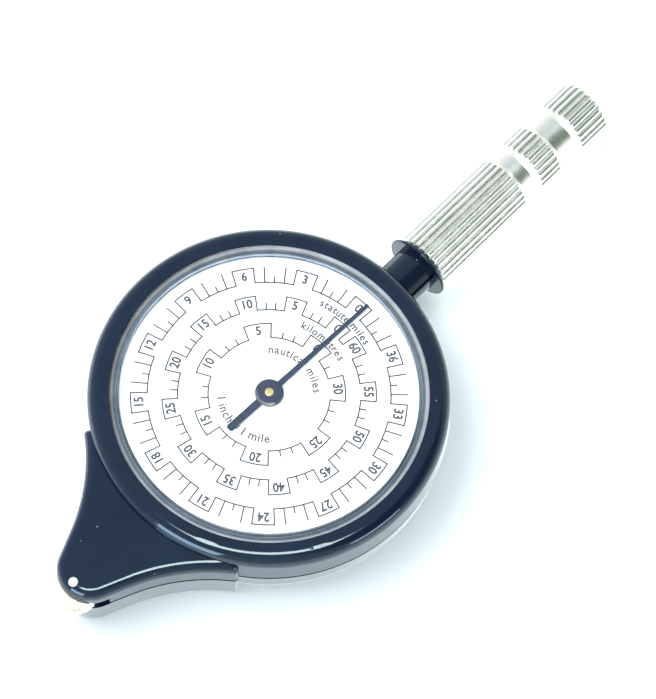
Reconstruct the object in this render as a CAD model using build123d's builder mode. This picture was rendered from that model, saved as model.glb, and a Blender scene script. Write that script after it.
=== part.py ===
from build123d import *
import os
from math import acos, cos, pi, radians, sin, sqrt, tan

# A map measurer. The origin is on the dial's axis, in the plane of the flat back.
# +Z points out of the dial and +Y runs along the handle. Sizes are in millimetres.

# ---------------------------------------------------------------- driving dimensions
seam_z = 6.6  # the case halves meet here
case_r = 23.5  # round case at the seam
case_top_r = 23.2  # round case below the bezel's shoulder
bezel_z = 11.45
shoulder_r = 1.7
lip_r = 20.5  # opening of the bezel
lip_z = 10.75  # underside of the bezel's lip
bore_r = 21.5  # inside of the case
floor_z = 1.2  # inside of the back
back_r = 23.0
back_round_r = 3.5
draft_deg = 3.0
seam_line = (0.4, 0.5)  # depth and height of the shadow line round the back case at the seam

snout_top_z = 10.0
snout_edge_r = 1.3
snout_back_edge_r = 1.1
tip_r = 4.4  # the snout's rounded tip
tip_centre_y = -31.95
flank_deg = 23.0  # the flank's slope away from the tip
flank_straight = 3.4
flank_r = 25.5  # the hollow flank towards the horn
flank_turn_deg = 31.0
horn_r = 0.6
snout_root = 7.0  # how far the outline runs back from the horns into the round case
snout_wall = 1.0

handle_z = 4.75  # axis of the neck and the handle, a little below the seam
neck_r = 3.2
neck_end_y = 28.3
stud_r = 1.5
stud_head_r = 2.1
stud_head_y = (19.3, 20.4)
stud_chamfer = 0.4

flange_r = 4.7
flange_end_y = 28.75
flange_rim_r = 0.2
barrel_r = 4.45
barrel_waist_r = 3.7
barrel_shoulder = 0.35
knurl_spans = ((28.8, 45.7), (48.4, 52.8), (56.55, 62.4))
barrel_bore = (1.5, 44.0)  # radius and end of the stud's hole
stud_end_y = 42.0
rib_count = 28
rib_r = 0.48  # each rib's round top
rib_chamfer = 0.45
end_bevel = ((0.9, 0.0), (0.35, 0.2), (0.0, 0.75))  # along and below the land, at the handle's end

lens_top_z = 11.7
lens_under_z = 11.1
lens_flange_r = 21.4
lens_body_r = 20.4
lens_edge_z = 11.3
lens_flat_r = 19.4
lens_under_bevel = 0.2
ring_inner_r = 19.2
ring_z = (10.05, 10.45)
dial_z = (9.75, 10.05)
dial_r = 21.3
dial_hole_r = 1.1
spacer_inner_r = 16.6
plate_thick = 0.8
bottom_plate_z = floor_z
top_plate_z = 8.1
plate_r = 21.0
tongue_y = -28.4  # middle of the tongue's round end
tongue_r = 2.6
plate_screw_depth = 2.0
sunk_head_r = 1.15

hand_z = 10.2
hand_thick = 0.25
hand_hub_top_z = 10.55
hand_post_top_z = 10.75
hand_post_round = 0.2
hand_rest_deg = -1.95
hand_tip = 17.8
hand_tail = 7.2
hand_half_w = (0.39, 0.22)  # half of the pointer's width at the hub and at the tip
hand_tail_half_w = 0.49
hand_tail_bevel = 0.22
hand_hub_r = 1.85
hand_hub_bevel = 0.35

# Gear train, all in one line from the dial's axis to the wheel's:
# wheel pinion, first gear and pinion, second gear and pinion, hand gear.
fine_module = 0.4
coarse_module = 0.5
pressure = radians(20)
backlash = 0.09
pinion_teeth = 8
first_teeth = 20
second_teeth = 40
drive_teeth = 16
hand_teeth = 63
second_y = -coarse_module * (drive_teeth + hand_teeth) / 2
first_y = second_y - fine_module * (pinion_teeth + second_teeth) / 2
wheel_y = first_y - fine_module * (pinion_teeth + first_teeth) / 2

# One turn of the hand is 39 inches of rolling, so the train's ratio sets the wheel's size.
hand_turn = 39 * 25.4
train_ratio = (first_teeth / pinion_teeth) * (second_teeth / pinion_teeth)
train_ratio *= hand_teeth / drive_teeth
wheel_r = hand_turn / train_ratio / (2 * pi)
wheel_z = (6.1, 7.7)
slot_z = (5.95, 7.85)
slot_open_y = -33.0  # the slot is open at both sides beyond this line
front_room = (-31.4, 9.0)  # where the room in each half ends towards the tip, and its height
back_room = (-34.0, 1.2)
pinion_room_z = 4.0
pinion_room_r = 2.45
wheel_grooves = 40
wheel_groove = 0.24
wheel_room_clear = 0.3
wheel_bevel = 0.25
axle_r = 0.64
axle_z = (0.6, 10.05)
axle_round = 0.15
wheel_bore_r = 1.15
wheel_collar_r = 1.6
wheel_collar_thick = 0.3
wheel_pinion_z = 4.1

first_gear_z = 4.2
second_gear_z = 5.4
hand_gear_z = 6.7
gear_thick = 0.8
first_pinion_top_z = 6.4
second_pinion_top_z = 7.7
collet_r = 1.5
collet_flange_r = 2.6
collet_flange_thick = 0.6
hand_window_ring_r = 9.0
hand_window_r = 2.8
second_window_ring_r = 5.2
second_window_r = 1.3

screw_r = 0.8
screw_head_r = 1.5
screw_head_z = (0.6, 1.6)
screw_end_z = 8.4
screw_clear = 0.1  # round the shank and the head, and below the shank's end
driver_slot = (0.45, 0.4)  # width and depth
slot_length = 2.2  # a slot's length over its head's radius, so that it runs out at both sides
screw_ring_r = 19.6
screw_angles = (37, 143, 238, 302)
boss_r = 2.1
boss_clear = 0.2
pillar_r = 1.2
pillar_ring_r = 18.7
pillar_angles = (65, 115, 215, 325)
rivet_r = 0.6
plate_slot = (0.3, 0.25)  # width and depth

pivot_r = 0.45
arbor_r = 0.7
hand_arbor_r = 0.9
hand_post_r = 0.6
running = 0.05  # radial clearance of a pivot in its hole
end_play = 0.1  # axial clearance at each end of an arbor or a pivot

os.makedirs("parts", exist_ok=True)


def save(part, name):
    part.label = name
    export_step(part, f"parts/{name}.step")


def polar(radius, angle, y=0.0):
    """A point on a circle about (0, y), with the angle in radians."""
    return (radius * cos(angle), y + radius * sin(angle))


def ring_points(radius, angles):
    return [polar(radius, radians(a)) for a in angles]


# ---------------------------------------------------------------- the snout's outline
def snout_outline():
    """Tip arc, straight stretch, hollow flank and horn, on both sides of the Y axis."""
    slope = radians(flank_deg)
    horn = radians(flank_deg + flank_turn_deg)
    a = (tip_r * cos(slope), tip_centre_y - tip_r * sin(slope))
    b = (a[0] + flank_straight * sin(slope), a[1] + flank_straight * cos(slope))
    hollow = (b[0] + flank_r * cos(slope), b[1] - flank_r * sin(slope))
    middle = (slope + horn) / 2
    c = (hollow[0] - flank_r * cos(middle), hollow[1] + flank_r * sin(middle))
    d = (hollow[0] - flank_r * cos(horn), hollow[1] + flank_r * sin(horn))
    inner = (d[0] - snout_root * cos(horn), d[1] + snout_root * sin(horn))
    with BuildSketch() as outline:
        with BuildLine():
            ThreePointArc((-a[0], a[1]), (0, tip_centre_y - tip_r), a)
            Line(a, b)
            ThreePointArc(b, c, d)
            Line(d, inner)
            Line(inner, (-inner[0], inner[1]))
            Line((-inner[0], inner[1]), (-d[0], d[1]))
            ThreePointArc((-d[0], d[1]), (-c[0], c[1]), (-b[0], b[1]))
            Line((-b[0], b[1]), (-a[0], a[1]))
        make_face()
        horns = [v for v in outline.vertices() if abs(abs(v.X) - d[0]) < 0.01]
        fillet(horns, horn_r)
    return outline.sketch


outline_face = snout_outline()

with BuildPart() as snout_front:
    with BuildSketch(Plane.XY.offset(seam_z)):
        add(outline_face)
    extrude(amount=snout_top_z - seam_z, taper=draft_deg)
    fillet(snout_front.faces().sort_by(Axis.Z)[-1].edges(), snout_edge_r)

with BuildPart() as snout_back:
    with BuildSketch(Plane.XY.offset(seam_z)):
        add(outline_face)
    extrude(amount=-seam_z, taper=draft_deg)
    fillet(snout_back.faces().sort_by(Axis.Z)[0].edges(), snout_back_edge_r)

# The whole case at the seam, with the neck run on past its end
neck_half_w = sqrt(neck_r**2 - (seam_z - handle_z) ** 2)
with BuildSketch() as case_outline:
    Circle(case_r)
    add(outline_face)
    Rectangle(2 * neck_half_w, 2 * flange_end_y)

# Room for the gear train inside the snout
with BuildSketch() as snout_room:
    offset(outline_face, amount=-snout_wall)

# The slot that the wheel turns in is open at the tip and, beyond a line, at both sides.
wheel_room_r = wheel_r + wheel_room_clear
with BuildSketch() as wheel_slot:
    with Locations((0, wheel_y)):
        Circle(wheel_room_r)
    with Locations((0, slot_open_y)):
        Rectangle(2 * case_r, case_r, align=(Align.CENTER, Align.MAX))

screw_points = ring_points(screw_ring_r, screw_angles)
pillar_points = ring_points(pillar_ring_r, pillar_angles)


def disc(points, radius, z, height, mode=Mode.ADD):
    """Cylinders along Z that stand on the height z, inside the current part."""
    with BuildSketch(Plane.XY.offset(z)) as circles:
        with Locations(*points):
            Circle(radius)
    extrude(circles.sketch, amount=height, mode=mode)


def rod(radius, y_start, y_end, mode=Mode.ADD):
    """A cylinder on the handle's axis, inside the current part."""
    with BuildSketch(Plane.XZ.offset(-y_start)) as circle:
        with Locations((0, handle_z)):
            Circle(radius)
    extrude(circle.sketch, amount=y_start - y_end, mode=mode)


def half_neck(above):
    """The neck's share above or below the seam, from inside the case wall to the flange."""
    with BuildSketch(Plane.XZ.offset(-bore_r)) as half:
        with Locations((0, handle_z)):
            Circle(neck_r)
        with Locations((0, seam_z)):
            Rectangle(
                3 * neck_r,
                3 * neck_r,
                align=(Align.CENTER, Align.MAX if above else Align.MIN),
                mode=Mode.SUBTRACT,
            )
    extrude(half.sketch, amount=bore_r - neck_end_y)


def snout_space(z, height, end_y):
    """Cuts the gear train's room into the snout, as far as end_y towards the tip."""
    with BuildSketch(Plane.XY.offset(z)) as room:
        add(snout_room.sketch)
        with Locations((0, end_y)):
            Rectangle(2 * case_r, case_r, align=(Align.CENTER, Align.MAX), mode=Mode.SUBTRACT)
    extrude(room.sketch, amount=height, mode=Mode.SUBTRACT)


def slot_space(z, height):
    with BuildSketch(Plane.XY.offset(z)) as slot:
        add(wheel_slot.sketch)
    extrude(slot.sketch, amount=height, mode=Mode.SUBTRACT)


# ---------------------------------------------------------------- front case
with BuildPart() as front_case:
    with BuildSketch(Plane.XZ) as front_profile:
        with BuildLine():
            Polyline((0, seam_z), (case_r, seam_z), (case_top_r, bezel_z), (0, bezel_z), close=True)
        make_face()
        fillet(front_profile.vertices().sort_by_distance((case_top_r, bezel_z))[0], shoulder_r)
    revolve(axis=Axis.Z)
    add(snout_front.part)
    half_neck(above=True)
    disc([(0, 0)], bore_r, seam_z, lip_z - seam_z, Mode.SUBTRACT)
    disc([(0, 0)], lip_r, lip_z, bezel_z - lip_z, Mode.SUBTRACT)
    snout_space(seam_z, front_room[1] - seam_z, front_room[0])
    slot_space(seam_z, slot_z[1] - seam_z)
    disc(screw_points, boss_r, seam_z, top_plate_z + plate_thick - seam_z)
    disc(screw_points, screw_r, seam_z, screw_end_z - seam_z, Mode.SUBTRACT)
    disc([(0, wheel_y)], axle_r, seam_z, snout_top_z - seam_z, Mode.SUBTRACT)
    rod(stud_r, stud_head_y[1], neck_end_y, Mode.SUBTRACT)
save(front_case.part, "front_case")


# ---------------------------------------------------------------- back case
with BuildPart() as back_case:
    with BuildSketch(Plane.XZ) as back_profile:
        with BuildLine():
            Polyline((0, 0), (back_r, 0), (case_r, seam_z), (0, seam_z), close=True)
        make_face()
        fillet(back_profile.vertices().sort_by_distance((back_r, 0))[0], back_round_r)
    revolve(axis=Axis.Z)
    add(snout_back.part)
    half_neck(above=False)
    disc([(0, 0)], bore_r, floor_z, seam_z - floor_z, Mode.SUBTRACT)
    snout_space(back_room[1], seam_z - back_room[1], back_room[0])
    slot_space(slot_z[0], seam_z - slot_z[0])
    disc([(0, wheel_y)], pinion_room_r, pinion_room_z, slot_z[0] - pinion_room_z, Mode.SUBTRACT)
    disc(screw_points, boss_r, floor_z, seam_z - floor_z)
    disc(screw_points, screw_r + screw_clear, 0, seam_z, Mode.SUBTRACT)
    disc(screw_points, screw_head_r + screw_clear, 0, screw_head_z[1], Mode.SUBTRACT)
    disc([(0, wheel_y)], axle_r, axle_z[0], seam_z, Mode.SUBTRACT)
    rod(stud_r, stud_head_y[1], neck_end_y, Mode.SUBTRACT)
    with BuildSketch(Plane.XY.offset(seam_z)):
        offset(case_outline.sketch, amount=seam_line[0])
        offset(case_outline.sketch, amount=-seam_line[0], mode=Mode.SUBTRACT)
    extrude(amount=-seam_line[1], mode=Mode.SUBTRACT)
save(back_case.part, "back_case")

with BuildPart() as case_screws:
    disc(screw_points, screw_head_r, screw_head_z[0], screw_head_z[1] - screw_head_z[0])
    disc(screw_points, screw_r, screw_head_z[1], screw_end_z - screw_clear - screw_head_z[1])
    with BuildSketch(Plane.XY.offset(screw_head_z[0])):
        with Locations(*screw_points):
            Rectangle(slot_length * screw_head_r, driver_slot[0])
    extrude(amount=driver_slot[1], mode=Mode.SUBTRACT)
save(case_screws.part, "case_screws")


# ---------------------------------------------------------------- lens, dial and their rings
with BuildPart() as lens:
    with BuildSketch(Plane.XZ):
        with BuildLine():
            Polyline(
                (0, lens_under_z),
                (lens_flat_r - lens_under_bevel, lens_under_z),
                (lens_flat_r, ring_z[1]),
                (lens_flange_r, ring_z[1]),
                (lens_flange_r, lip_z),
                (lens_body_r, lip_z),
                (lens_body_r, lens_edge_z),
                (lens_flat_r, lens_top_z),
                (0, lens_top_z),
                close=True,
            )
        make_face()
    revolve(axis=Axis.Z)
save(lens.part, "lens")

with BuildPart() as lens_ring:
    with BuildSketch(Plane.XY.offset(ring_z[0])):
        Circle(lens_flange_r)
        Circle(ring_inner_r, mode=Mode.SUBTRACT)
    extrude(amount=ring_z[1] - ring_z[0])
save(lens_ring.part, "lens_ring")

with BuildPart() as dial:
    with BuildSketch(Plane.XY.offset(dial_z[0])):
        Circle(dial_r)
        Circle(dial_hole_r, mode=Mode.SUBTRACT)
    extrude(amount=dial_z[1] - dial_z[0])
save(dial.part, "dial")

plates_top_z = top_plate_z + plate_thick
with BuildPart() as dial_spacer:
    with BuildSketch(Plane.XY.offset(plates_top_z)):
        Circle(dial_r)
        Circle(spacer_inner_r, mode=Mode.SUBTRACT)
    extrude(amount=dial_z[0] - plates_top_z)
save(dial_spacer.part, "dial_spacer")


# ---------------------------------------------------------------- movement plates
pivot_points = ((0, first_y), (0, second_y))


def plate_blank(z):
    """A round plate with a tongue into the snout, cut away round the case screws' bosses."""
    with BuildSketch(Plane.XY.offset(z)) as outline:
        Circle(plate_r)
        with Locations(*screw_points):
            Circle(boss_r + boss_clear, mode=Mode.SUBTRACT)
        with Locations((0, tongue_y / 2)):
            Rectangle(2 * tongue_r, -tongue_y)
        with Locations((0, tongue_y)):
            Circle(tongue_r)
    extrude(outline.sketch, amount=plate_thick)
    disc(pivot_points, pivot_r + running, z, plate_thick, Mode.SUBTRACT)


with BuildPart() as movement_plate_bottom:
    plate_blank(bottom_plate_z)
    disc(pillar_points, rivet_r, bottom_plate_z, plate_thick, Mode.SUBTRACT)
    disc([(0, 0)], pivot_r + running, bottom_plate_z, plate_thick, Mode.SUBTRACT)
save(movement_plate_bottom.part, "movement_plate_bottom")

with BuildPart() as movement_plate_top:
    plate_blank(top_plate_z)
    disc([(0, 0)], hand_post_r + running, top_plate_z, plate_thick, Mode.SUBTRACT)
    with Locations(*[(x, y, plates_top_z) for x, y in pillar_points]):
        CounterSinkHole(rivet_r, sunk_head_r, depth=plate_thick, counter_sink_angle=90)
save(movement_plate_top.part, "movement_plate_top")

pillar_base_z = bottom_plate_z + plate_thick
plate_screw_z = top_plate_z - plate_screw_depth
with BuildPart() as plate_pillars:
    disc(pillar_points, pillar_r, pillar_base_z, top_plate_z - pillar_base_z)
    disc(pillar_points, rivet_r, bottom_plate_z, plate_thick)
    disc(pillar_points, rivet_r, plate_screw_z, plate_screw_depth, Mode.SUBTRACT)
save(plate_pillars.part, "plate_pillars")

with BuildPart() as plate_screws:
    sunk = sunk_head_r - rivet_r
    for x, y in pillar_points:
        with BuildSketch(Plane.XZ.offset(-y)):
            with BuildLine():
                Polyline(
                    (x, plate_screw_z + screw_clear),
                    (x + rivet_r, plate_screw_z + screw_clear),
                    (x + rivet_r, plates_top_z - sunk),
                    (x + sunk_head_r, plates_top_z),
                    (x, plates_top_z),
                    close=True,
                )
            make_face()
        revolve(axis=Axis((x, y, 0), (0, 0, 1)))
    with BuildSketch(Plane.XY.offset(plates_top_z)):
        with Locations(*pillar_points):
            Rectangle(slot_length * sunk_head_r, plate_slot[0])
    extrude(amount=-plate_slot[1], mode=Mode.SUBTRACT)
save(plate_screws.part, "plate_screws")


# ---------------------------------------------------------------- gears
def flank_half_angle(radius, pitch_r, base_r, pitch_half_angle):
    """Half of a tooth's angular width at a radius, on involute flanks."""
    at_pitch = tan(pressure) - pressure
    here = acos(min(1.0, base_r / radius))
    return pitch_half_angle + at_pitch - (tan(here) - here)


def gear_sketch(teeth, module, shift, top, centre_y, first_tooth_deg, bore):
    """Involute gear outline about (0, centre_y), with one tooth's middle at first_tooth_deg."""
    pitch_r = module * teeth / 2
    base_r = pitch_r * cos(pressure)
    tip_radius = pitch_r + module * (top + shift)
    root_radius = pitch_r - module * (1.25 - shift)
    thick = module * (pi / 2 + 2 * shift * tan(pressure)) - backlash / 2
    start_r = max(base_r, root_radius)
    radii = (start_r, (start_r + tip_radius) / 2, tip_radius)
    halves = [flank_half_angle(r, pitch_r, base_r, thick / (2 * pitch_r)) for r in radii]
    step = 2 * pi / teeth
    with BuildSketch() as outline:
        with BuildLine():
            for tooth in range(teeth):
                middle = radians(first_tooth_deg) + tooth * step
                rising = [polar(r, middle - h, centre_y) for r, h in zip(radii, halves)]
                falling = [polar(r, middle + h, centre_y) for r, h in zip(radii, halves)]
                root_start = polar(root_radius, middle - halves[0], centre_y)
                root_end = polar(root_radius, middle + halves[0], centre_y)
                root_next = polar(root_radius, middle + step - halves[0], centre_y)
                if base_r > root_radius:
                    Line(root_start, rising[0])
                    Line(falling[0], root_end)
                ThreePointArc(*rising)
                ThreePointArc(rising[2], polar(tip_radius, middle, centre_y), falling[2])
                ThreePointArc(*reversed(falling))
                ThreePointArc(root_end, polar(root_radius, middle + step / 2, centre_y), root_next)
        make_face()
        with Locations((0, centre_y)):
            Circle(bore, mode=Mode.SUBTRACT)
    return outline.sketch


def gear(outline, z, height):
    with BuildPart() as blank:
        with BuildSketch(Plane.XY.offset(z)):
            add(outline)
        extrude(amount=height)
    return blank.part


# In each pair the bigger gear has a tooth towards the wheel, and the pinion a gap to take it.
TOOTH = -90
GAP_FINE = 90 + 180 / pinion_teeth
GAP_COARSE = 90 + 180 / drive_teeth

with BuildPart() as hand_gear:
    add(gear(gear_sketch(hand_teeth, coarse_module, -0.2, 1, 0, TOOTH, collet_r), hand_gear_z, gear_thick))
    with BuildSketch(Plane.XY.offset(hand_gear_z)):
        with PolarLocations(hand_window_ring_r, 6, start_angle=30):
            Circle(hand_window_r)
    extrude(amount=gear_thick, mode=Mode.SUBTRACT)
save(hand_gear.part, "hand_gear")

second_gear_face = gear_sketch(second_teeth, fine_module, -0.5, 1, second_y, TOOTH, arbor_r)
second_pinion_face = gear_sketch(drive_teeth, coarse_module, 0.2, 1, second_y, GAP_COARSE, arbor_r)
first_gear_face = gear_sketch(first_teeth, fine_module, -0.5, 1, first_y, TOOTH, arbor_r)
first_pinion_face = gear_sketch(pinion_teeth, fine_module, 0.5, 0.8, first_y, GAP_FINE, arbor_r)
wheel_pinion_face = gear_sketch(
    pinion_teeth, fine_module, 0.5, 0.8, wheel_y, GAP_FINE, axle_r + running
)

with BuildPart() as second_gear:
    add(gear(second_gear_face, second_gear_z, gear_thick))
    with BuildSketch(Plane.XY.offset(second_gear_z)):
        with Locations((0, second_y)):
            with PolarLocations(second_window_ring_r, 5):
                Circle(second_window_r)
    extrude(amount=gear_thick, mode=Mode.SUBTRACT)
save(second_gear.part, "second_gear")

second_pinion_z = second_gear_z + gear_thick
second_pinion = gear(second_pinion_face, second_pinion_z, second_pinion_top_z - second_pinion_z)
save(second_pinion, "second_pinion")

first_gear = gear(first_gear_face, first_gear_z, gear_thick)
save(first_gear, "first_gear")

first_pinion_z = first_gear_z + gear_thick
first_pinion = gear(first_pinion_face, first_pinion_z, first_pinion_top_z - first_pinion_z)
save(first_pinion, "first_pinion")


# ---------------------------------------------------------------- arbors
def arbor(y):
    """A gear arbor with a turned pivot at each end, in the plates' holes."""
    with BuildPart() as turned:
        disc([(0, y)], arbor_r, *arbor_span)
        disc([(0, y)], pivot_r, *pivot_span)
    return turned.part


pivot_span = (bottom_plate_z + end_play, plates_top_z - bottom_plate_z - 2 * end_play)
arbor_span = (pillar_base_z + end_play, top_plate_z - pillar_base_z - 2 * end_play)
save(arbor(first_y), "first_arbor")
save(arbor(second_y), "second_arbor")

with BuildPart() as hand_arbor:
    disc([(0, 0)], hand_arbor_r, *arbor_span)
    disc([(0, 0)], pivot_r, bottom_plate_z + end_play, plate_thick)
    disc([(0, 0)], hand_post_r, top_plate_z - end_play, hand_post_top_z - top_plate_z + end_play)
    fillet(hand_arbor.faces().sort_by(Axis.Z)[-1].edges(), hand_post_round)
save(hand_arbor.part, "hand_arbor")

collet_z = hand_gear_z - collet_flange_thick
with BuildPart() as hand_collet:
    disc([(0, 0)], collet_flange_r, collet_z, collet_flange_thick)
    disc([(0, 0)], collet_r, hand_gear_z, gear_thick)
    disc([(0, 0)], hand_arbor_r, collet_z, gear_thick + collet_flange_thick, Mode.SUBTRACT)
save(hand_collet.part, "hand_collet")


# ---------------------------------------------------------------- hand
with BuildPart() as hand:
    with BuildSketch(Plane.XY.offset(hand_z)):
        with BuildLine():
            Polyline(
                (hand_half_w[0], 0),
                (hand_half_w[1], hand_tip),
                (-hand_half_w[1], hand_tip),
                (-hand_half_w[0], 0),
                (-hand_tail_half_w, 0),
                (-hand_tail_half_w, hand_tail_bevel - hand_tail),
                (hand_tail_bevel - hand_tail_half_w, -hand_tail),
                (hand_tail_half_w - hand_tail_bevel, -hand_tail),
                (hand_tail_half_w, hand_tail_bevel - hand_tail),
                (hand_tail_half_w, 0),
                close=True,
            )
        make_face()
    extrude(amount=hand_thick)
    with BuildSketch(Plane.XZ):
        with BuildLine():
            Polyline(
                (0, hand_z),
                (hand_hub_r, hand_z),
                (hand_hub_r, hand_z + hand_thick),
                (hand_hub_r - hand_hub_bevel, hand_hub_top_z),
                (0, hand_hub_top_z),
                close=True,
            )
        make_face()
    revolve(axis=Axis.Z)
    disc([(0, 0)], hand_post_r, hand_z, hand_hub_top_z - hand_z, Mode.SUBTRACT)
hand.part = hand.part.rotate(Axis.Z, hand_rest_deg)
save(hand.part, "hand")


# ---------------------------------------------------------------- wheel, pinion and axle
with BuildPart() as tracing_wheel:
    with BuildSketch(Plane.XY.offset(wheel_z[0])):
        with Locations((0, wheel_y)):
            Circle(wheel_r)
            Circle(wheel_bore_r, mode=Mode.SUBTRACT)
            with PolarLocations(wheel_r, wheel_grooves):
                Rectangle(wheel_groove, wheel_groove, rotation=45, mode=Mode.SUBTRACT)
    extrude(amount=wheel_z[1] - wheel_z[0])
    with BuildSketch(Plane.YZ):
        with BuildLine():
            Polyline(
                (wheel_y, wheel_z[0]),
                (wheel_y + wheel_r - wheel_bevel, wheel_z[0]),
                (wheel_y + wheel_r, wheel_z[0] + wheel_bevel),
                (wheel_y + wheel_r, wheel_z[1] - wheel_bevel),
                (wheel_y + wheel_r - wheel_bevel, wheel_z[1]),
                (wheel_y, wheel_z[1]),
                close=True,
            )
        make_face()
    revolve(axis=Axis((0, wheel_y, 0), (0, 0, 1)), mode=Mode.INTERSECT)
save(tracing_wheel.part, "tracing_wheel")

wheel_collar_z = wheel_z[0] - wheel_collar_thick
with BuildPart() as wheel_pinion:
    add(gear(wheel_pinion_face, wheel_pinion_z, wheel_collar_z - wheel_pinion_z))
    disc([(0, wheel_y)], wheel_collar_r, wheel_collar_z, wheel_collar_thick)
    disc([(0, wheel_y)], wheel_bore_r, wheel_z[0], wheel_z[1] - wheel_z[0])
    disc([(0, wheel_y)], axle_r + running, wheel_pinion_z, wheel_z[1], Mode.SUBTRACT)
save(wheel_pinion.part, "wheel_pinion")

with BuildPart() as wheel_axle:
    disc([(0, wheel_y)], axle_r, axle_z[0], axle_z[1] - axle_z[0])
    fillet(wheel_axle.faces().sort_by(Axis.Z)[-1].edges(), axle_round)
save(wheel_axle.part, "wheel_axle")


# ---------------------------------------------------------------- handle
with BuildPart() as handle_flange:
    rod(flange_r, neck_end_y, flange_end_y)
    rims = handle_flange.edges().filter_by(GeomType.CIRCLE)
    fillet(rims, flange_rim_r)
    rod(stud_r, neck_end_y, flange_end_y, Mode.SUBTRACT)
save(handle_flange.part, "handle_flange")

with BuildPart() as handle_stud:
    rod(stud_head_r, *stud_head_y)
    rod(stud_r, stud_head_y[1], stud_end_y)
    chamfer(handle_stud.faces().sort_by(Axis.Y)[-1].edges(), stud_chamfer)
save(handle_stud.part, "handle_stud")


def barrel_profile():
    """Half section of the handle: three lands with bevelled ends, and a polished waist between them."""
    (a0, a1), (b0, b1), (c0, c1) = knurl_spans
    bevelled = barrel_r - rib_chamfer
    section = [(0, flange_end_y), (bevelled, flange_end_y), (barrel_r, a0 + rib_chamfer)]
    for end, start in ((a1, b0), (b1, c0)):
        section += [
            (barrel_r, end - rib_chamfer),
            (bevelled, end),
            (barrel_waist_r, end + barrel_shoulder),
            (barrel_waist_r, start - barrel_shoulder),
            (bevelled, start),
            (barrel_r, start + rib_chamfer),
        ]
    section += [(barrel_r - below, c1 - along) for along, below in end_bevel]
    return section + [(0, c1)]


with BuildPart() as handle_barrel:
    with BuildSketch(Plane.YZ):
        with BuildLine():
            Polyline(*[(y, handle_z + r) for r, y in barrel_profile()], close=True)
        make_face()
    revolve(axis=Axis((0, 0, handle_z), (0, 1, 0)))
    rod(barrel_bore[0], flange_end_y, barrel_bore[1], Mode.SUBTRACT)
    for start, end in knurl_spans:
        with BuildSketch(Plane.XZ.offset(-start)):
            with Locations((0, handle_z)):
                Circle(barrel_r + rib_r)
                Circle(barrel_r - rib_r, mode=Mode.SUBTRACT)
                with PolarLocations(barrel_r - rib_r, rib_count):
                    Circle(rib_r, mode=Mode.SUBTRACT)
        extrude(amount=start - end, mode=Mode.SUBTRACT)
save(handle_barrel.part, "handle_barrel")
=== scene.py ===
"""Looks of a map measurer: a round black case with a printed dial under a clear lens, a snout with
a small tracing wheel at its tip, and a ribbed metal handle. The CAD nodes keep their shapes; this
script gives them materials, prints the dial, and sets the studio, the lights and the camera."""

from math import cos, radians, sin

import bmesh
import bpy
from mathutils import Matrix, Vector

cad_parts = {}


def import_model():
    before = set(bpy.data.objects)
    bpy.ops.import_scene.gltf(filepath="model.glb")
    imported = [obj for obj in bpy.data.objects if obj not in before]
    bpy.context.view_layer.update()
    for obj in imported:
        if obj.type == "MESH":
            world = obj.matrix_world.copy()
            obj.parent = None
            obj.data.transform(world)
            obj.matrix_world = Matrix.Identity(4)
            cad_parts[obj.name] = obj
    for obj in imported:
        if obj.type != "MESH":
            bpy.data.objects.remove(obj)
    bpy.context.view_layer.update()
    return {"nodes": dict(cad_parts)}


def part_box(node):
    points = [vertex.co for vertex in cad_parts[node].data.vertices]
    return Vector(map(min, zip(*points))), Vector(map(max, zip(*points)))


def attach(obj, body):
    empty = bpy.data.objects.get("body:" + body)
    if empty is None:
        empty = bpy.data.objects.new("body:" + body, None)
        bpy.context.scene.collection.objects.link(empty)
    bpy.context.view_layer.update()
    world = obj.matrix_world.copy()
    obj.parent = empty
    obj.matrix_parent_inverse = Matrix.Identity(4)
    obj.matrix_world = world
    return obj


MM = 0.001

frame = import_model()
nodes = frame["nodes"]
scene = bpy.context.scene


# ---------------------------------------------------------------- node helpers
NOISE_LOW, NOISE_HIGH = 0.3, 0.7  # most of a noise's values lie between these


def new_material(name):
    """A material with its node tree and its Principled shader."""
    material = bpy.data.materials.new(name)
    material.use_nodes = True
    tree = material.node_tree
    return material, tree, tree.nodes["Principled BSDF"]


def link(tree, source, target):
    tree.links.new(source, target)


def feed(tree, value, target):
    """Links a socket to an input, or sets the input to a fixed value."""
    if isinstance(value, bpy.types.NodeSocket):
        link(tree, value, target)
    else:
        target.default_value = value


def add_node(tree, kind, **inputs):
    """A shader node whose inputs, named with _ for a space, get sockets or fixed values."""
    node = tree.nodes.new(kind)
    for key, value in inputs.items():
        feed(tree, value, node.inputs[key.replace("_", " ")])
    return node


def calculate(tree, kind, operation, *values):
    """A Math or Vector Math node; each value is a socket or fixed."""
    node = tree.nodes.new(kind)
    node.operation = operation
    for value, target in zip(values, node.inputs):
        feed(tree, value, target)
    return node


def maths(tree, operation, *values):
    """The result of a Math node."""
    return calculate(tree, "ShaderNodeMath", operation, *values).outputs["Value"]


def mix_colours(tree, factor, first, second, blend="MIX"):
    """Two colours blended by a factor; each is a socket or fixed."""
    node = tree.nodes.new("ShaderNodeMix")
    node.data_type = "RGBA"
    node.blend_type = blend
    for value, key in ((factor, "Factor"), (first, "A"), (second, "B")):
        feed(tree, value, node.inputs[key])
    return node.outputs["Result"]


def object_coordinates(tree, scale=(1, 1, 1)):
    """Object coordinates in millimetres, stretched by a scale on each axis."""
    coordinates = tree.nodes.new("ShaderNodeTexCoord").outputs["Object"]
    millimetres = tuple(s / MM for s in scale)
    return add_node(tree, "ShaderNodeMapping", Vector=coordinates, Scale=millimetres).outputs["Vector"]


def noise(tree, vector, size, detail=3.0):
    """Noise whose features are about size millimetres across."""
    node = add_node(
        tree, "ShaderNodeTexNoise", Vector=vector, Scale=1 / size, Detail=detail, Roughness=0.55
    )
    return node.outputs["Fac"]


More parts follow.
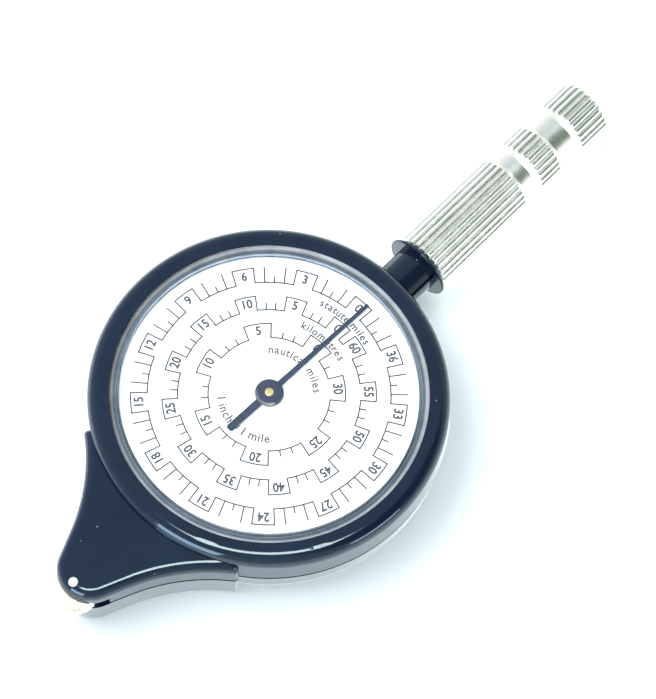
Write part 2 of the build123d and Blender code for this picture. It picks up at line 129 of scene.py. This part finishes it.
def ramp(tree, factor, *stops):
    """A colour ramp from a factor; each stop is (position, colour) or (position, grey)."""
    node = add_node(tree, "ShaderNodeValToRGB", Fac=factor)
    elements = node.color_ramp.elements
    while len(elements) < len(stops):
        elements.new(0.5)
    for element, (position, value) in zip(elements, stops):
        element.position = position
        element.color = (*value, 1) if isinstance(value, tuple) else (value, value, value, 1)
    return node.outputs["Color"]


def shades(tree, factor, low, high):
    """A colour that goes from low to high over a noise's middle range."""
    return ramp(tree, factor, (NOISE_LOW, low), (NOISE_HIGH, high))


def between(tree, factor, low, high, from_low=NOISE_LOW, from_high=NOISE_HIGH):
    """Maps a factor's range, by default a noise's middle range, onto low..high."""
    node = add_node(
        tree, "ShaderNodeMapRange", Value=factor,
        From_Min=from_low, From_Max=from_high, To_Min=low, To_Max=high,
    )
    return node.outputs["Result"]


def bump(tree, height, distance_mm, strength, normal=None):
    """A normal roughened by a height, on top of another normal if there is one."""
    node = add_node(tree, "ShaderNodeBump", Height=height, Strength=strength, Distance=distance_mm * MM)
    if normal is not None:
        link(tree, normal, node.inputs["Normal"])
    return node.outputs["Normal"]


def specks(tree, vector, cell, share, radius=0.045):
    """Sparse fine dust: 1 on a speck, 0 elsewhere. cell is the size in millimetres of the cells
    that hold one speck at most, share the part of them that do, and radius a speck's, in cells."""
    cells = add_node(tree, "ShaderNodeTexVoronoi", Vector=vector, Scale=1 / cell, Randomness=1.0)
    chance = add_node(tree, "ShaderNodeSeparateColor", Color=cells.outputs["Color"])
    grain = maths(tree, "LESS_THAN", cells.outputs["Distance"], radius)
    chosen = maths(tree, "LESS_THAN", chance.outputs["Red"], share)
    return maths(tree, "MULTIPLY", grain, chosen)


# ---------------------------------------------------------------- materials
def black_plastic():
    """Glossy blue-black moulded plastic with a faint ripple, fine scuffs and a little dust."""
    material, tree, shader = new_material("black_plastic")
    vector = object_coordinates(tree)
    base = shades(tree, noise(tree, vector, 9.0), (0.005, 0.011, 0.032), (0.009, 0.017, 0.046))
    dust = specks(tree, vector, 1.6, 0.35)
    link(tree, mix_colours(tree, dust, base, (0.55, 0.60, 0.64, 1)), shader.inputs["Base Color"])
    scuffs = noise(tree, object_coordinates(tree, (1.0, 0.25, 1.0)), 0.5, detail=6)
    link(tree, between(tree, scuffs, 0.05, 0.12), shader.inputs["Roughness"])
    shader.inputs["IOR"].default_value = 1.5
    shader.inputs["Specular Tint"].default_value = (0.78, 0.98, 1.0, 1)
    ripple = bump(tree, noise(tree, vector, 2.5, detail=1.0), 0.02, 0.25)
    link(tree, bump(tree, scuffs, 0.004, 0.15, ripple), shader.inputs["Normal"])
    return material


def clear_plastic():
    """Clear lens plastic that lets the lamps' light through to the dial."""
    material, tree, shader = new_material("clear_plastic")
    shader.inputs["Base Color"].default_value = (0.985, 0.995, 0.995, 1)
    shader.inputs["Transmission Weight"].default_value = 1.0
    shader.inputs["IOR"].default_value = 1.49
    vector = object_coordinates(tree)
    haze = noise(tree, vector, 6.0, detail=4)
    link(tree, between(tree, haze, 0.0, 0.03), shader.inputs["Roughness"])
    ripple = noise(tree, vector, 12.0, detail=1.0)
    link(tree, bump(tree, ripple, 0.02, 0.15), shader.inputs["Normal"])
    clear = add_node(tree, "ShaderNodeBsdfTransparent", Color=(0.96, 0.97, 0.97, 1))
    path = tree.nodes.new("ShaderNodeLightPath")
    mix = add_node(tree, "ShaderNodeMixShader", Fac=path.outputs["Is Shadow Ray"])
    link(tree, shader.outputs["BSDF"], mix.inputs[1])
    link(tree, clear.outputs["BSDF"], mix.inputs[2])
    link(tree, mix.outputs["Shader"], tree.nodes["Material Output"].inputs["Surface"])
    return material


def white_card():
    """Printed white card: matt, with a fine paper tooth."""
    material, tree, shader = new_material("white_card")
    vector = object_coordinates(tree)
    tone = noise(tree, vector, 4.0)
    link(tree, shades(tree, tone, (0.82, 0.825, 0.83), (0.86, 0.86, 0.86)), shader.inputs["Base Color"])
    tooth = noise(tree, vector, 0.12, detail=4)
    link(tree, between(tree, tooth, 0.45, 0.6), shader.inputs["Roughness"])
    link(tree, bump(tree, tooth, 0.01, 0.3), shader.inputs["Normal"])
    return material


def moulding_grain(tree, vector, shader):
    """Gives a plastic's surface a fine grain."""
    grain = noise(tree, vector, 0.3, detail=3)
    link(tree, bump(tree, grain, 0.01, 0.2), shader.inputs["Normal"])


def white_plastic():
    """Bright white moulded plastic of the dial's spacer."""
    material, tree, shader = new_material("white_plastic")
    vector = object_coordinates(tree)
    tone = noise(tree, vector, 3.0)
    link(tree, shades(tree, tone, (0.78, 0.81, 0.84), (0.86, 0.88, 0.90)), shader.inputs["Base Color"])
    link(tree, between(tree, tone, 0.25, 0.4), shader.inputs["Roughness"])
    moulding_grain(tree, vector, shader)
    return material


RING_INNER_R = 19.2  # mm, the lens ring's opening
LIP_R = 20.5  # mm, the bezel's opening


def ring_plastic():
    """Turned plastic of the ring under the lens: grey with dark turned grooves, painted shadow in
    the gap at its opening, and a painted highlight in white at the rim, where light comes through the
    lens's bevelled rim. The ramp's positions go from the ring's opening, 0, to the bezel's, 1."""
    material, tree, shader = new_material("ring_plastic")
    vector = object_coordinates(tree)
    flat = calculate(tree, "ShaderNodeVectorMath", "MULTIPLY", vector, (1, 1, 0)).outputs["Vector"]
    radius = calculate(tree, "ShaderNodeVectorMath", "LENGTH", flat).outputs["Value"]
    across = between(tree, radius, 0.0, 1.0, RING_INNER_R, LIP_R)
    # The ramp's first dark stop, at the opening, is painted shadow in the gap at the ring's inner edge. The
    # white from 0.58 out to the rim is a painted highlight of light through the lens's bevelled rim. The
    # dark lines between them are turned grooves.
    groove_and_gap_shade, grey, white = (0.07, 0.10, 0.14), (0.46, 0.57, 0.68), (0.88, 0.92, 0.95)
    grooves_and_painted_light = ramp(
        tree, across, (0.0, groove_and_gap_shade), (0.10, grey), (0.22, grey), (0.27, groove_and_gap_shade), (0.32, grey),
        (0.39, groove_and_gap_shade), (0.44, grey), (0.52, grey), (0.58, white),
    )
    tone = noise(tree, vector, 3.0)
    cloud = shades(tree, tone, (0.80, 0.80, 0.82), 1.0)
    link(tree, mix_colours(tree, 1.0, grooves_and_painted_light, cloud, "MULTIPLY"), shader.inputs["Base Color"])
    link(tree, between(tree, tone, 0.2, 0.35), shader.inputs["Roughness"])
    moulding_grain(tree, vector, shader)
    return material


def printing_ink():
    """Black ink, a little uneven in its cover."""
    material, tree, shader = new_material("printing_ink")
    cover = noise(tree, object_coordinates(tree), 0.35, detail=4)
    black = ramp(tree, cover, (0.35, (0.006, 0.006, 0.010)), (0.75, (0.025, 0.025, 0.03)))
    link(tree, black, shader.inputs["Base Color"])
    link(tree, between(tree, cover, 0.4, 0.6), shader.inputs["Roughness"])
    return material


def hand_enamel():
    """Blue-black enamel on the stamped hand."""
    material, tree, shader = new_material("hand_enamel")
    vector = object_coordinates(tree)
    tone = noise(tree, vector, 2.0)
    link(tree, shades(tree, tone, (0.004, 0.009, 0.030), (0.008, 0.017, 0.048)), shader.inputs["Base Color"])
    grain = noise(tree, vector, 0.25, detail=3)
    link(tree, between(tree, grain, 0.15, 0.28), shader.inputs["Roughness"])
    link(tree, bump(tree, grain, 0.008, 0.3), shader.inputs["Normal"])
    return material


def turned_metal(name, dark, light, axis, rough):
    """Metal with fine tool marks across an axis, uneven polish and faint stains."""
    material, tree, shader = new_material(name)
    stretch = tuple(1 if a == axis else 0.02 for a in "xyz")
    marks = noise(tree, object_coordinates(tree, stretch), 0.12, detail=4)
    patches = noise(tree, object_coordinates(tree), 3.5, detail=4)
    link(tree, shades(tree, patches, dark, light), shader.inputs["Base Color"])
    shader.inputs["Metallic"].default_value = 1.0
    link(tree, between(tree, patches, *rough), shader.inputs["Roughness"])
    link(tree, bump(tree, marks, 0.006, 0.35), shader.inputs["Normal"])
    return material


# Each CAD node has one material, and its name says which of these the node gets.
MATERIALS = {
    "case_plastic": black_plastic(),
    "clear_lens": clear_plastic(),
    "white_plastic": white_plastic(),
    "ring_grey": ring_plastic(),
    "dial_white": white_card(),
    "hand_black": hand_enamel(),
    "brass": turned_metal("turned_brass", (0.72, 0.52, 0.22), (0.86, 0.68, 0.34), "z", (0.18, 0.32)),
    "gear_brass": turned_metal("rolled_brass", (0.66, 0.47, 0.19), (0.80, 0.60, 0.28), "x", (0.25, 0.4)),
    "steel": turned_metal("bright_steel", (0.50, 0.51, 0.52), (0.66, 0.66, 0.66), "z", (0.2, 0.35)),
    "nickel": turned_metal("polished_nickel", (0.78, 0.75, 0.61), (0.88, 0.86, 0.73), "z", (0.26, 0.36)),
    "handle_metal": turned_metal("plated_handle", (0.93, 0.92, 0.83), (0.97, 0.96, 0.89), "y", (0.22, 0.32)),
}

for node in nodes.values():
    slots = node.data.materials
    slots[0] = MATERIALS[slots[0].name.split(".")[0]]


# ---------------------------------------------------------------- the dial's print
# Lengths are in millimetres.
DIAL_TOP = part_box("dial")[1].z / MM
INK_THICK = 0.012
LINE = 0.2  # width of a printed line
ARC_STEP = 40  # an arc's degrees times its radius, for each straight stretch of it
NUMBER_HEIGHT = 1.25
NUMBER_WIDTH = 0.9  # as a share of the font's own
NUMBER_BOLD = 0.06  # how far the outline is pushed out
NUMBER_DROP = 0.03  # towards the centre from the middle of the number's box
LEGEND_BOLD = 0.035
FONT_SIZE = 1.37  # a font's size over the height of its letters

# A letter's rough advance, for spacing a legend along its circle. It is 1 where it isn't listed.
LETTER_WIDTHS = {"i": 0.55, "l": 0.55, "t": 0.7, "m": 1.55, " ": 0.6, "1": 0.8, "r": 0.75}

# What one turn of the hand measures at the legend's scale.
MILES_A_TURN = 39
KILOMETRES_A_TURN = 62.764
NAUTICAL_MILES_A_TURN = 33.889


class Print:
    """Gathers flat printed shapes and turns them into one mesh of thin closed slabs."""

    def __init__(self):
        self.mesh = bmesh.new()

    def slab(self, corners):
        """A thin closed slab over a strip of corner pairs, (left, right) points along its length."""
        low, high = DIAL_TOP, DIAL_TOP + INK_THICK
        rows = []
        for left, right in corners:
            points = [(*left, low), (*right, low), (*right, high), (*left, high)]
            rows.append([self.mesh.verts.new(Vector(p) * MM) for p in points])
        for a, b in zip(rows, rows[1:]):
            for i in range(4):
                j = (i + 1) % 4
                self.mesh.faces.new((a[i], b[i], b[j], a[j]))
        self.mesh.faces.new(rows[0])
        self.mesh.faces.new(reversed(rows[-1]))

    def arc(self, radius, start, end):
        """A printed arc between two angles."""
        steps = max(2, round(abs(end - start) * radius / ARC_STEP))
        angles = [start + (end - start) * i / steps for i in range(steps + 1)]
        inner, outer = radius - LINE / 2, radius + LINE / 2
        self.slab([(around(inner, a), around(outer, a)) for a in angles])

    def spoke(self, angle, inner, outer):
        """A printed radial line from inner to outer radius."""
        half = LINE / 2
        sideways = Vector(around(1, angle + 90)) * half
        ends = [Vector(around(r, angle)) for r in (inner - half, outer + half)]
        self.slab([(tuple(e + sideways), tuple(e - sideways)) for e in ends])

    def text(self, words, radius, angle, height, condense, bold, inward=False):
        """Words at a radius and angle, with their tops outward, or towards the centre if inward."""
        glyphs = text_mesh(words, height, condense, bold)
        turn = angle + (180 if inward else 0)
        middle = Vector((*around(radius, angle), DIAL_TOP + INK_THICK / 2)) * MM
        glyphs.transform(Matrix.Translation(middle) @ Matrix.Rotation(radians(turn), 4, "Z"))
        self.mesh.from_mesh(glyphs)
        bpy.data.meshes.remove(glyphs)

    def curved_text(self, words, radius, start, end, height, condense, inward=False):
        """Words spread letter by letter from one angle to another along a circle."""
        widths = [LETTER_WIDTHS.get(letter, 1.0) for letter in words]
        total = sum(widths)
        done = 0
        for letter, width in zip(words, widths):
            angle = start + (end - start) * (done + width / 2) / total
            done += width
            if letter != " ":
                self.text(letter, radius, angle, height, condense, LEGEND_BOLD, inward)

    def piece(self, name):
        """The finished print as an object."""
        mesh = bpy.data.meshes.new(name)
        bmesh.ops.recalc_face_normals(self.mesh, faces=self.mesh.faces)
        self.mesh.to_mesh(mesh)
        self.mesh.free()
        made = bpy.data.objects.new(name, mesh)
        scene.collection.objects.link(made)
        return made


def around(radius, angle):
    """A point at a radius, at an angle in degrees counter-clockwise from the handle's side."""
    return (-radius * sin(radians(angle)), radius * cos(radians(angle)))


def text_mesh(words, height, condense, bold):
    """Raised lettering as a mesh, centred on the origin, in metres."""
    curve = bpy.data.curves.new("lettering", "FONT")
    curve.body = words
    curve.align_x = "CENTER"
    curve.align_y = "CENTER"
    curve.size = height * FONT_SIZE * MM
    curve.extrude = INK_THICK / 2 * MM
    curve.offset = bold * MM
    curve.resolution_u = 3
    holder = bpy.data.objects.new("lettering", curve)
    scene.collection.objects.link(holder)
    bpy.context.view_layer.update()
    made = bpy.data.meshes.new_from_object(holder.evaluated_get(bpy.context.evaluated_depsgraph_get()))
    bpy.data.objects.remove(holder)
    bpy.data.curves.remove(curve)
    made.transform(Matrix.Diagonal((condense, 1, 1, 1)))
    return made


def scale_ring(ink, turn, step, half_box, base, outer, ticks, last=None):
    """A crenellated scale: numbered boxes joined by base arcs that carry ticks.
    turn is the scale's units in one turn of the hand, step the units between numbers, half_box
    half a box's width in units, base and outer the radii of its arcs, and each tick is (units past
    a number, its outer radius). last is the ticks after the last number, where they differ."""
    degree = 360 / turn
    figures = [n for n in range(0, int(turn) + 1, step) if n + half_box < turn]
    for figure in figures:
        middle = figure * degree
        left, right = middle + half_box * degree, middle - half_box * degree
        ink.arc(outer, right, left)
        ink.spoke(left, base, outer)
        ink.spoke(right, base, outer)
        is_last = figure == figures[-1]
        end = 360 - half_box * degree if is_last else (figure + step - half_box) * degree
        ink.arc(base, left, end)
        marks = last if is_last and last is not None else ticks
        for past, top in marks:
            ink.spoke((figure + past) * degree, base, top)
        radius = (base + outer) / 2 - NUMBER_DROP
        ink.text(str(figure), radius, middle, NUMBER_HEIGHT, NUMBER_WIDTH, NUMBER_BOLD)


def dial_print():
    """Three scales for one turn of the hand, and their legends."""
    ink = Print()
    scale_ring(
        ink, MILES_A_TURN, step=3, half_box=0.5, base=15.6, outer=17.72,
        ticks=[(1, 17.72), (1.5, 16.4), (2, 17.72)],
    )
    scale_ring(
        ink, KILOMETRES_A_TURN, step=5, half_box=1, base=11.72, outer=13.72,
        ticks=[(2, 12.6), (3, 12.6)], last=[],
    )
    scale_ring(
        ink, NAUTICAL_MILES_A_TURN, step=5, half_box=1, base=7.83, outer=9.78,
        ticks=[(2, 8.6), (3, 8.6)], last=[(2, 8.6)],
    )
    ink.curved_text("statute miles", radius=14.45, start=17, end=-17.5, height=1.1, condense=0.95)
    ink.curved_text("kilometres", radius=10.45, start=21, end=-20, height=1.1, condense=0.95)
    ink.curved_text("nautical miles", radius=6.1, start=46, end=-46, height=1.15, condense=0.9)
    ink.curved_text(
        "1 inch = 1 mile", radius=6.2, start=137, end=225, height=1.2, condense=0.95, inward=True
    )
    made = ink.piece("dial_print")
    made.data.materials.append(printing_ink())
    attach(made, "case")


dial_print()


# ---------------------------------------------------------------- studio
# Lengths are in metres, apart from the floor's gap and the camera's, which are in millimetres.
FLOOR_HALF = 3.0  # from the middle to an edge
FLOOR_GAP = 0.02  # between the floor and the measurer's back
FLOOR_GLOW = 0.36
FLOOR_GLOW_REFLECTED = 0.95  # added where the floor is seen in a reflection
DARK_SIDE = Vector((0.57, 0.30, 0.76))  # towards the dark patch in the surroundings
CAMERA_TARGET = (1.10, 9.77, 10.05)
CAMERA_DISTANCE = 338.63
CAMERA_LENS, SENSOR_WIDTH = 135.175, 36
CAMERA_AZIMUTH, CAMERA_ELEVATION, CAMERA_ROLL = 38.4634, 67.1355, 5.4911  # degrees


def floor():
    """A plain pale sheet that the measurer lies on. It glows a little, and more in reflections."""
    mesh = bpy.data.meshes.new("floor")
    corners = [(x * FLOOR_HALF, y * FLOOR_HALF, 0) for x, y in ((-1, -1), (1, -1), (1, 1), (-1, 1))]
    mesh.from_pydata(corners, [], [(0, 1, 2, 3)])
    made = bpy.data.objects.new("floor", mesh)
    scene.collection.objects.link(made)
    made.location.z = -FLOOR_GAP * MM
    material, tree, shader = new_material("pale_floor")
    shader.inputs["Base Color"].default_value = (0.93, 0.96, 0.98, 1)
    shader.inputs["Roughness"].default_value = 0.6
    shader.inputs["Emission Color"].default_value = (0.84, 0.97, 1.0, 1)
    reflected = tree.nodes.new("ShaderNodeLightPath").outputs["Is Glossy Ray"]
    glow = maths(tree, "MULTIPLY_ADD", reflected, FLOOR_GLOW_REFLECTED, FLOOR_GLOW)
    link(tree, glow, shader.inputs["Emission Strength"])
    made.data.materials.append(material)


def direction(azimuth, elevation):
    """Unit vector away from the object; azimuth 0 is in front, towards -Y, and 90 towards +X."""
    a, e = radians(azimuth), radians(elevation)
    return Vector((sin(a) * cos(e), -cos(a) * cos(e), sin(e)))


def soft_light(name, azimuth, elevation, distance, size, power, colour=(1, 1, 1), spread=True, shine=True):
    """A rectangular softbox that faces the dial and isn't seen itself. size is width and height.
    spread: it lights matt surfaces; shine: it shows as a reflection."""
    lamp = bpy.data.lights.new(name, "AREA")
    lamp.shape = "RECTANGLE"
    lamp.size, lamp.size_y = size
    lamp.energy = power
    lamp.color = colour
    made = bpy.data.objects.new(name, lamp)
    scene.collection.objects.link(made)
    made.location = direction(azimuth, elevation) * distance
    made.rotation_mode = "QUATERNION"
    made.rotation_quaternion = (-made.location).to_track_quat("-Z", "Y")
    made.visible_camera = False
    made.visible_diffuse = spread
    made.visible_glossy = shine


def lamps():
    """A fill that lights the matt surfaces, and three lamps for the bezel's and snout's highlights."""
    cool, pale = (0.62, 0.78, 1.0), (0.72, 0.82, 1.0)
    soft_light("fill", -60, 60, 0.8, size=(0.5, 0.5), power=4.0, shine=False)
    soft_light("overhead", 44, 86, 0.6, size=(0.25, 0.15), power=2.3, spread=False)
    soft_light("window", 8, 22, 0.6, size=(0.30, 0.28), power=2.9, colour=cool, spread=False)
    soft_light("side_window", 93, 18, 0.6, size=(0.24, 0.10), power=0.8, colour=pale, spread=False)


def world():
    """White surroundings, dimmer overhead, with a dark patch high up towards +X."""
    sky = bpy.data.worlds.new("studio")
    scene.world = sky
    sky.use_nodes = True
    tree = sky.node_tree
    outward = tree.nodes.new("ShaderNodeTexCoord").outputs["Generated"]
    height = add_node(tree, "ShaderNodeSeparateXYZ", Vector=outward).outputs["Z"]
    low, middle, top = (1.0, 1.0, 1.0), (0.86, 0.91, 0.95), (0.55, 0.64, 0.72)
    walls = ramp(tree, height, (0.15, low), (0.45, middle), (0.85, top))
    toward = calculate(tree, "ShaderNodeVectorMath", "DOT_PRODUCT", outward, DARK_SIDE.normalized())
    patch = ramp(tree, toward.outputs["Value"], (0.82, 1.0), (0.93, (0.13, 0.19, 0.12)))
    background = tree.nodes["Background"]
    link(tree, mix_colours(tree, 1.0, walls, patch, "MULTIPLY"), background.inputs["Color"])
    background.inputs["Strength"].default_value = 1.0


def camera():
    """The camera at the photograph's angle."""
    back = direction(CAMERA_AZIMUTH, CAMERA_ELEVATION)
    roll = radians(CAMERA_ROLL)
    level = (-back).cross(Vector((0, 0, 1))).normalized()
    upright = level.cross(-back)
    right = level * cos(roll) + upright * sin(roll)
    up = upright * cos(roll) - level * sin(roll)
    data = bpy.data.cameras.new("camera")
    data.lens = CAMERA_LENS
    data.sensor_width = SENSOR_WIDTH
    data.clip_start, data.clip_end = 0.01, 20
    made = bpy.data.objects.new("camera", data)
    scene.collection.objects.link(made)
    turn = Matrix((right, up, back)).transposed().to_4x4()
    place = (Vector(CAMERA_TARGET) + back * CAMERA_DISTANCE) * MM
    made.matrix_world = Matrix.Translation(place) @ turn
    scene.camera = made


floor()
world()
lamps()
camera()
scene.view_settings.view_transform = "Standard"
